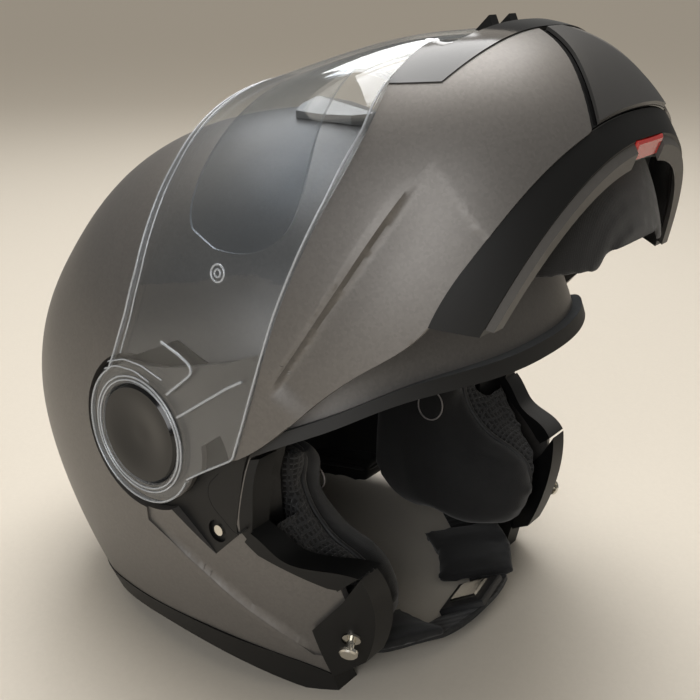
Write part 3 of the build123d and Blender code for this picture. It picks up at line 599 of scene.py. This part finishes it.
# Soft goods. Every pad starts as a shrunk copy of its space and is blown up by cloth
# pressure, then its seams are drawn in and piped. Two fabrics: a brushed knit on the
# faces that touch the head, and an open square mesh round the sides.
def rows_by_axis(tree, place):
    # The two coordinates that lie in the surface, so that a square grid never stretches
    normal = add(tree, "ShaderNodeTexCoord").outputs["Normal"]
    size = add(tree, "ShaderNodeVectorMath", {0: normal}, operation="ABSOLUTE")
    parts = add(tree, "ShaderNodeSeparateXYZ", {0: size.outputs[0]})
    most = add(tree, "ShaderNodeMath", {0: parts.outputs[0], 1: parts.outputs[1]}, operation="MAXIMUM")
    most = add(tree, "ShaderNodeMath", {0: most.outputs[0], 1: parts.outputs[2]}, operation="MAXIMUM")
    kept = [add(tree, "ShaderNodeMath", {0: parts.outputs[i], 1: most.outputs[0]},
                operation="LESS_THAN").outputs[0] for i in range(3)]
    mask = add(tree, "ShaderNodeCombineXYZ", {0: kept[0], 1: kept[1], 2: kept[2]})
    return add(tree, "ShaderNodeVectorMath", {0: place, 1: mask.outputs[0]}, operation="MULTIPLY").outputs[0]


square_mesh, tree = new_material("open square spacer mesh")
place = add(tree, "ShaderNodeTexCoord").outputs["Object"]
rows = rows_by_axis(tree, place)
# Square openings at a 2.9 mm pitch, painted near black as painted shade inside them
grid = add(tree, "ShaderNodeTexVoronoi", {"Vector": rows, "Scale": 1 / (2.9 * MM), "Randomness": 0.0},
           distance="CHEBYCHEV")
hole = add(tree, "ShaderNodeMapRange", {
    "Value": grid.outputs["Distance"], "From Min": 0.26, "From Max": 0.36})
thread = add(tree, "ShaderNodeTexNoise", {"Vector": place, "Scale": 1 / (0.4 * MM), "Detail": 2.0})
thread_tone = add(tree, "ShaderNodeMapRange", {"Value": thread.outputs["Fac"], "To Min": 0.6, "To Max": 1.4})
mesh_tone = add(tree, "ShaderNodeMix", {
    "Factor": hole.outputs[0], 6: linear("#020202"), 7: linear("#29292a")},
                data_type="RGBA")
mesh_tone = add(tree, "ShaderNodeMix", {"Factor": 1.0, 6: mesh_tone.outputs[2], 7: thread_tone.outputs[0]},
                data_type="RGBA", blend_type="MULTIPLY")
mesh_bump = add(tree, "ShaderNodeBump", {"Height": hole.outputs[0], "Strength": 0.9, "Distance": 0.9 * MM})
surface = add(tree, "ShaderNodeBsdfPrincipled", {"Base Color": mesh_tone.outputs[2], "Roughness": 0.75,
                                                 "Sheen Weight": 0.15, "Normal": mesh_bump.outputs[0]})
add(tree, "ShaderNodeOutputMaterial", {"Surface": surface.outputs[0]})

brushed_knit, tree = new_material("black brushed knit")
place = add(tree, "ShaderNodeTexCoord").outputs["Object"]
# Knit rows 0.9 mm apart under a short nap
knit = add(tree, "ShaderNodeTexVoronoi", {
    "Vector": rows_by_axis(tree, place), "Scale": 1 / (0.9 * MM), "Randomness": 0.25})
nap = add(tree, "ShaderNodeTexNoise", {"Vector": place, "Scale": 1 / (14 * MM), "Detail": 3.0})
nap_tone = add(tree, "ShaderNodeMix", {
    "Factor": nap.outputs["Fac"], 6: linear("#0a0a0a"), 7: linear("#181819")},
               data_type="RGBA")
knit_bump = add(tree, "ShaderNodeBump", {
    "Height": knit.outputs["Distance"], "Strength": 0.5, "Distance": 0.25 * MM})
surface = add(tree, "ShaderNodeBsdfPrincipled", {"Base Color": nap_tone.outputs[2], "Roughness": 0.9,
                                                 "Sheen Weight": 0.2, "Normal": knit_bump.outputs[0]})
add(tree, "ShaderNodeOutputMaterial", {"Surface": surface.outputs[0]})

# Stitches 0.8 mm apart, and the weave of the piping's cloth, drawn at 0.9 mm
badge_thread = toned("pale grey embroidery thread", "#8a8583", 0.25, 0.7, 0.8 * MM, 0.3 * MM,
                     {"Sheen Weight": 0.2})
piping_cord = toned("piping bound in smooth black cloth", "#1d1d1e", 0.2, 0.6, 0.9 * MM, 0.2 * MM,
                    {"Sheen Weight": 0.2})


def set_shape(piece, points):
    piece.data.vertices.foreach_set("co", points.reshape(-1))
    piece.data.update()


def shape_of(piece):
    points = np.empty(len(piece.data.vertices) * 3)
    piece.data.vertices.foreach_get("co", points)
    return points.reshape(-1, 3)


def normals_of(piece):
    found = np.empty(len(piece.data.vertices) * 3)
    piece.data.vertex_normals.foreach_get("vector", found)
    return found.reshape(-1, 3)


def applied(piece):
    held = bpy.data.meshes.new_from_object(piece.evaluated_get(bpy.context.evaluated_depsgraph_get()))
    piece.modifiers.clear()
    piece.data = held


def pad_blank(name, voxel, shrink):
    # A remeshed copy of the CAD space, smaller all round by the given length
    points, triangles = merged_node(name)
    made = new_object(name + "_sewn", points, triangles)
    remesh = made.modifiers.new("remesh", "REMESH")
    remesh.mode = "VOXEL"
    remesh.voxel_size = voxel
    applied(made)
    set_shape(made, shape_of(made) - normals_of(made) * shrink)
    stands_for(made, name)
    return made


# Pads: node, voxel, shrink, cloth pressure and how far a point may move
pads = [
    ("cheek_pad_left", 4.0, 2.0, 4.0, 4.0),
    ("cheek_pad_right", 4.0, 2.0, 4.0, 4.0),
    ("crown_pad", 5.0, 1.5, 3.0, 2.5),
    ("neck_roll", 4.0, 1.5, 4.0, 3.0),
    ("chin_liner", 4.0, 1.0, 3.0, 2.0),
    ("chin_curtain", 3.0, 0.6, 2.0, 1.6),
    ("strap_pad_left", 2.2, 0.8, 3.0, 2.0),
    ("strap_pad_right", 2.2, 0.8, 3.0, 2.0),
]
cloth_frames = 20
sewn = {}
starts = {}
for name, voxel, shrink, pressure, _ in pads:
    piece = pad_blank(name, voxel * MM, shrink * MM)
    sewn[name] = piece
    starts[name] = shape_of(piece)
    cloth = piece.modifiers.new("cloth", "CLOTH")
    cloth.settings.use_pressure = True
    cloth.settings.uniform_pressure_force = pressure
    cloth.settings.effector_weights.gravity = 0.0
    cloth.settings.quality = 4
    cloth.point_cache.frame_start = 1
    cloth.point_cache.frame_end = cloth_frames
for number in range(1, cloth_frames + 1):
    bpy.context.scene.frame_set(number)
for name, _, shrink, _, most in pads:
    piece = sewn[name]
    applied(piece)
    moved = shape_of(piece) - starts[name]
    length = np.linalg.norm(moved, axis=1, keepdims=True)
    moved *= np.minimum(1.0, most * MM / np.maximum(length, 1e-9))
    shaped = starts[name] + moved
    if name.startswith("cheek_pad"):
        # The padding is thickest low at the front, and hangs a little below its pocket
        sign = 1 if name.endswith("left") else -1
        thick = np.array([sign * 64 * MM, pivot_y - 58 * MM, 42 * MM])
        spread = np.array([38, 54, 40]) * MM
        share = np.exp(-(np.linalg.norm((shaped - thick) / spread, axis=1)) ** 2)
        facing_in = smooth_step(-normals_of(piece)[:, 0] * sign, -0.2, 0.7)
        shaped[:, 0] -= sign * 17 * MM * share * facing_in
        shaped[:, 2] -= 6 * MM * share
        shaped[:, 2] = np.maximum(shaped[:, 2], 6 * MM)
    if name == "neck_roll":
        # The roll is thickest at the nape
        nape = np.exp(-(shaped[:, 0] / (60 * MM)) ** 2) * smooth_step(-normals_of(piece)[:, 1], -0.2, 0.7)
        shaped[:, 1] -= 14 * MM * nape
    if name.startswith("strap_pad"):
        # The padded flap is wider than the webbing on its inner side
        sign = 1 if name.endswith("left") else -1
        inward = np.array([-0.50 * sign, 0.83, -0.24])
        wide = (shaped - shaped.mean(axis=0)) @ inward
        shaped += inward * (12 * MM * smooth_step(wide, -4 * MM, 16 * MM))[:, None]
        shaped[:, 2] = np.maximum(shaped[:, 2], 1.2 * MM)
    set_shape(piece, shaped)
    smooth = piece.modifiers.new("smooth", "SUBSURF")
    smooth.levels = 1
    smooth.render_levels = 1
    applied(piece)
    piece.data.materials.clear()
    piece.data.materials.append(brushed_knit)
    piece.data.shade_smooth()


def seam_loops(piece, middle, across):
    # Where a plane cuts the pad, as closed runs of points
    cut = bmesh.new()
    cut.from_mesh(piece.data)
    made = bmesh.ops.bisect_plane(cut, geom=cut.verts[:] + cut.edges[:] + cut.faces[:],
                                  plane_co=middle, plane_no=across)["geom_cut"]
    edges = [item for item in made if isinstance(item, bmesh.types.BMEdge)]
    links = {}
    for edge in edges:
        a, b = edge.verts
        links.setdefault(a, []).append(b)
        links.setdefault(b, []).append(a)
    loops = []
    while links:
        start = next(iter(links))
        run = [start]
        here = start
        while links.get(here):
            there = links[here].pop()
            if here in links.get(there, []):
                links[there].remove(here)
            run.append(there)
            here = there
        links = {key: value for key, value in links.items() if value}
        loops.append(np.array([v.co for v in run]))
    cut.free()
    return loops


def tube(name, runs, radius, material, body, closed=True):
    # Round lines through runs of points, as one mesh
    curve = bpy.data.curves.new(name, "CURVE")
    curve.dimensions = "3D"
    curve.bevel_depth = radius
    curve.bevel_resolution = 2
    for run in runs:
        spline = curve.splines.new("POLY")
        spline.points.add(len(run) - 1)
        spline.points.foreach_set("co", np.concatenate([run, np.ones((len(run), 1))], axis=1).reshape(-1))
        spline.use_cyclic_u = closed
    drawn = bpy.data.objects.new(name + "_line", curve)
    bpy.context.scene.collection.objects.link(drawn)
    held = bpy.data.meshes.new_from_object(drawn.evaluated_get(bpy.context.evaluated_depsgraph_get()))
    bpy.data.objects.remove(drawn)
    made = bpy.data.objects.new(name, held)
    bpy.context.scene.collection.objects.link(made)
    held.materials.clear()
    held.materials.append(material)
    held.shade_smooth()
    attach(made, body)
    return made


def evened(run, spacing):
    # The closed run again, with its points evenly spaced and its corners eased
    run = np.concatenate([run, run[:1]])
    steps = np.linalg.norm(np.diff(run, axis=0), axis=1)
    length = np.concatenate([[0.0], np.cumsum(steps)])
    count = max(int(length[-1] / spacing), 6)
    at = np.linspace(0.0, length[-1], count, endpoint=False)
    made = np.stack([np.interp(at, length, run[:, i]) for i in range(3)], axis=1)
    for _ in range(3):
        made = (made * 2 + np.roll(made, 1, axis=0) + np.roll(made, -1, axis=0)) / 4
    return made


def sew(name, middle, across, depth, piping, label):
    # Draws the fabric in along a plane, and lays piping in the groove
    piece = sewn[name]
    across = Vector(across).normalized()
    points = shape_of(piece)
    distance = (points - np.array(middle)) @ np.array(across)
    pull = depth * np.exp(-(distance / (3.2 * MM)) ** 2)
    set_shape(piece, points - normals_of(piece) * pull[:, None])
    if piping:
        runs = [evened(run, 3 * MM) for run in seam_loops(piece, middle, across) if len(run) > 12]
        tube(name + "_" + label, runs, piping, piping_cord, nodes[name]["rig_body"])


for side, sign in (("left", 1), ("right", -1)):
    # The side wall of the cheek pad is open mesh, and its face is knit, with piping between
    name = "cheek_pad_" + side
    low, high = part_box(name)
    inner = (low[0] if sign > 0 else high[0]) + sign * 13 * MM
    sew(name, (inner, 0, 0), (1, 0, 0), 2.2 * MM, 1.5 * MM, "piping")
    sew(name, (inner + sign * 17 * MM, 0, 0), (1, 0, 0), 1.2 * MM, None, "")
    piece = sewn[name]
    piece.data.materials.append(square_mesh)
    for face in piece.data.polygons:
        if (face.center.x - inner) * sign > 0:
            face.material_index = 1
    # A plain round badge, sewn on near the front of the pad
    spot = Vector((sign * 66 * MM, pivot_y - 42 * MM, pivot_z - 40 * MM))
    found, place_on, normal, _ = piece.closest_point_on_mesh(spot)
    turn = normal.to_track_quat("Z", "Y").to_matrix()
    ring = [place_on + normal * 0.6 * MM + turn @ Vector((math.cos(t), math.sin(t), 0)) * 8.6 * MM
            for t in np.linspace(0, 2 * math.pi, 48, endpoint=False)]
    tube(name + "_badge_edge", [np.array(ring)], 0.45 * MM, badge_thread, nodes[name]["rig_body"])

for offset in (-36, 36):
    sew("crown_pad", (offset * MM, 0, 0), (1, 0, 0), 3.0 * MM, None, "")
sew("crown_pad", (0, pivot_y + 20 * MM, 0), (0, 1, 0.2), 3.0 * MM, None, "")
low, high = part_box("neck_roll")
sew("neck_roll", (0, 0, (low[2] + high[2]) / 2), (0, 0, 1), 1.5 * MM, 1.2 * MM, "piping")


# Chin strap: woven webbing, 22 mm wide and 2 mm thick, with a ribbed selvedge.
webbing, tree = new_material("black woven webbing")
place = add(tree, "ShaderNodeTexCoord").outputs["Object"]
# Weft ribs at a 1.6 mm pitch, each of twisted threads
ribs = add(tree, "ShaderNodeTexWave", {
    "Vector": place, "Scale": 1 / (10 * MM), "Distortion": 0.6, "Detail": 2.0},
           bands_direction="DIAGONAL")
threads = add(tree, "ShaderNodeTexVoronoi", {"Vector": place, "Scale": 1 / (0.8 * MM)})
rise_of = add(tree, "ShaderNodeMath", {
    0: ribs.outputs["Fac"], 1: threads.outputs["Distance"]}, operation="ADD")
rib_bump = add(tree, "ShaderNodeBump", {"Height": rise_of.outputs[0], "Strength": 0.6, "Distance": 0.3 * MM})
surface = add(tree, "ShaderNodeBsdfPrincipled", {
    "Base Color": linear("#121212"), "Roughness": 0.7, "Sheen Weight": 0.2,
                                                 "Normal": rib_bump.outputs[0]})
add(tree, "ShaderNodeOutputMaterial", {"Surface": surface.outputs[0]})


def rippled(form, points):
    # The slight waves of webbing that has been worn
    wave = np.sin(points[:, 0] / (13 * MM)) * np.sin(points[:, 1] / (17 * MM) + 1.3)
    return points + np.stack([wave * 0, wave * 0, wave * 0.5 * MM], axis=1)


moulded("chin_strap", shell_form, webbing, longest=3 * MM, shape=rippled)


# Fine lines. Those of the side plate lie on it, and those of the visor on its outer face.
def on_side(form, runs, raised, lift):
    # Points on a form from forward and up lengths in millimetres, on both sides
    made = []
    for run in runs:
        for sign in (1, -1):
            run_points = np.array(run, dtype=float) * MM
            y = pivot_y - run_points[:, 0]
            z = pivot_z + run_points[:, 1]
            radius = np.hypot(y - pivot_y, z - pivot_z)
            n = form["fullness"]
            share = radius / profile_radius(form, np.arctan2(z - pivot_z, pivot_y - y))
            y, z, share = (values[share < 0.997] for values in (y, z, share))
            x = sign * ((form["half_width"] + lift) * np.maximum(1 - share ** n, 0) ** (1 / n))
            points = np.stack([x, y, z], axis=1)
            made.append(turned(points, -closing) if raised else points)
    return made


def rounded_run(corners, spacing=1.2):
    # An open run with its corners eased, in the same units as it is given
    corners = np.array(corners, dtype=float)
    steps = np.linalg.norm(np.diff(corners, axis=0), axis=1)
    length = np.concatenate([[0.0], np.cumsum(steps)])
    at = np.linspace(0.0, length[-1], max(int(length[-1] / spacing), 4))
    made = np.stack([np.interp(at, length, corners[:, i]) for i in range(corners.shape[1])], axis=1)
    for _ in range(3):
        made[1:-1] = (made[1:-1] * 2 + made[:-2] + made[2:]) / 4
    return made


# Painted shade: a near-black line stands for the shade in the gap, its tone varied in patches of 2 mm
painted_gap_shade = toned("dark gap between two mouldings", "#030303", 0.4, 0.9, 2 * MM, 0.1 * MM)
plate_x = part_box("side_plate_left")[1][0] - 0.35 * MM
groove = rounded_run([(44, -9), (37.5, -16), (36.2, -22), (39.0, -27.5), (52.5, -36.5), (55, -36.0),
                      (60, -31)])
runs = [np.stack([np.full(len(groove), sign * plate_x), pivot_y - groove[:, 0] * MM,
                  pivot_z + groove[:, 1] * MM], axis=1) for sign in (1, -1)]
tube("side_plate_gap", runs, 0.45 * MM, painted_gap_shade, "shell", closed=False)

# Moulded ribs and the clear ring round each cap, drawn as painted highlight lines, in the closed pose's
# forward and up
visor_ribs = [
    [(61, -48), (54, -42), (36, -29), (24.5, -20.6)],
    [(53, -1.7), (53.5, -12), (52.5, -20.5), (50, -22.4), (48, -21.8), (35.4, -14.3), (31.5, -12.0)],
]
tube("visor_ribs", on_side(visor_form, [rounded_run(rib) for rib in visor_ribs], True, 0.2 * MM), 0.7 * MM,
     painted_edge_highlight, "visor", closed=False)
rings = [[(radius * math.cos(t), radius * math.sin(t))
          for t in np.linspace(0, 2 * math.pi, 72, endpoint=False)] for radius in (26.6, 28.4)]
tube("visor_rings", on_side(visor_form, rings, True, 0.2 * MM), 0.5 * MM, painted_edge_highlight,
     "visor")
arcs = [rounded_run([(19.4, 28.7), (25.5, 22), (30, 10.3), (30.5, 0)]),
        rounded_run([(24.2, 27.5), (31.5, 18.2), (35.2, 6.8), (36.1, -7.0)])]
tube("visor_arcs", on_side(visor_form, arcs, True, 0.2 * MM), 0.4 * MM, painted_edge_highlight,
     "visor", closed=False)


# The visor's own outline, in the closed pose's shares, is drawn as two painted highlight lines.
visor_outline = [(0.155, 0.196), (0.246, 0.187), (0.388, 0.183), (0.545, 0.20), (0.72, 0.238),
                 (0.873, 0.275), (1.06, 0.35), (1.40, 0.42)]
visor_back = [(0.25 * math.cos(t), 0.25 * math.sin(t)) for t in np.radians(np.arange(52, 266, 6))]
visor_low = [(-0.02, -0.249), (0.06, -0.31), (0.14, -0.375), (0.175, -0.404), (0.306, -0.404),
             (0.49, -0.397), (0.71, -0.384), (0.90, -0.382), (1.07, -0.381), (1.26, -0.364), (1.373, -0.315)]
outlines = [rounded_run(np.array(line) * crown_radius / MM)
            for line in (visor_outline, visor_back, visor_low)]
tube("visor_rim", on_side(visor_form, outlines, True, 0.0), 0.55 * MM, painted_edge_highlight,
     "visor", closed=False)
inner_outlines = [rounded_run((np.array(line) + np.array(move)) * crown_radius / MM)
                  for line, move in ((visor_outline[1:], (0.0, -0.03)),)]
tube("visor_rim_step", on_side(visor_form, inner_outlines, True, 0.0), 0.4 * MM, painted_edge_highlight,
     "visor", closed=False)

# A pin with a rosette holds each end of the inner lens, drawn as painted highlight rings
petals = [[(96.9 + radius * math.cos(t), -20.0 + radius * math.sin(t))
           for t in np.linspace(0, 2 * math.pi, 24, endpoint=False)] for radius in (1.6, 3.6)]
tube("lens_pins", on_side(visor_form, petals, True, 0.1 * MM), 0.5 * MM, painted_edge_highlight,
     "visor")
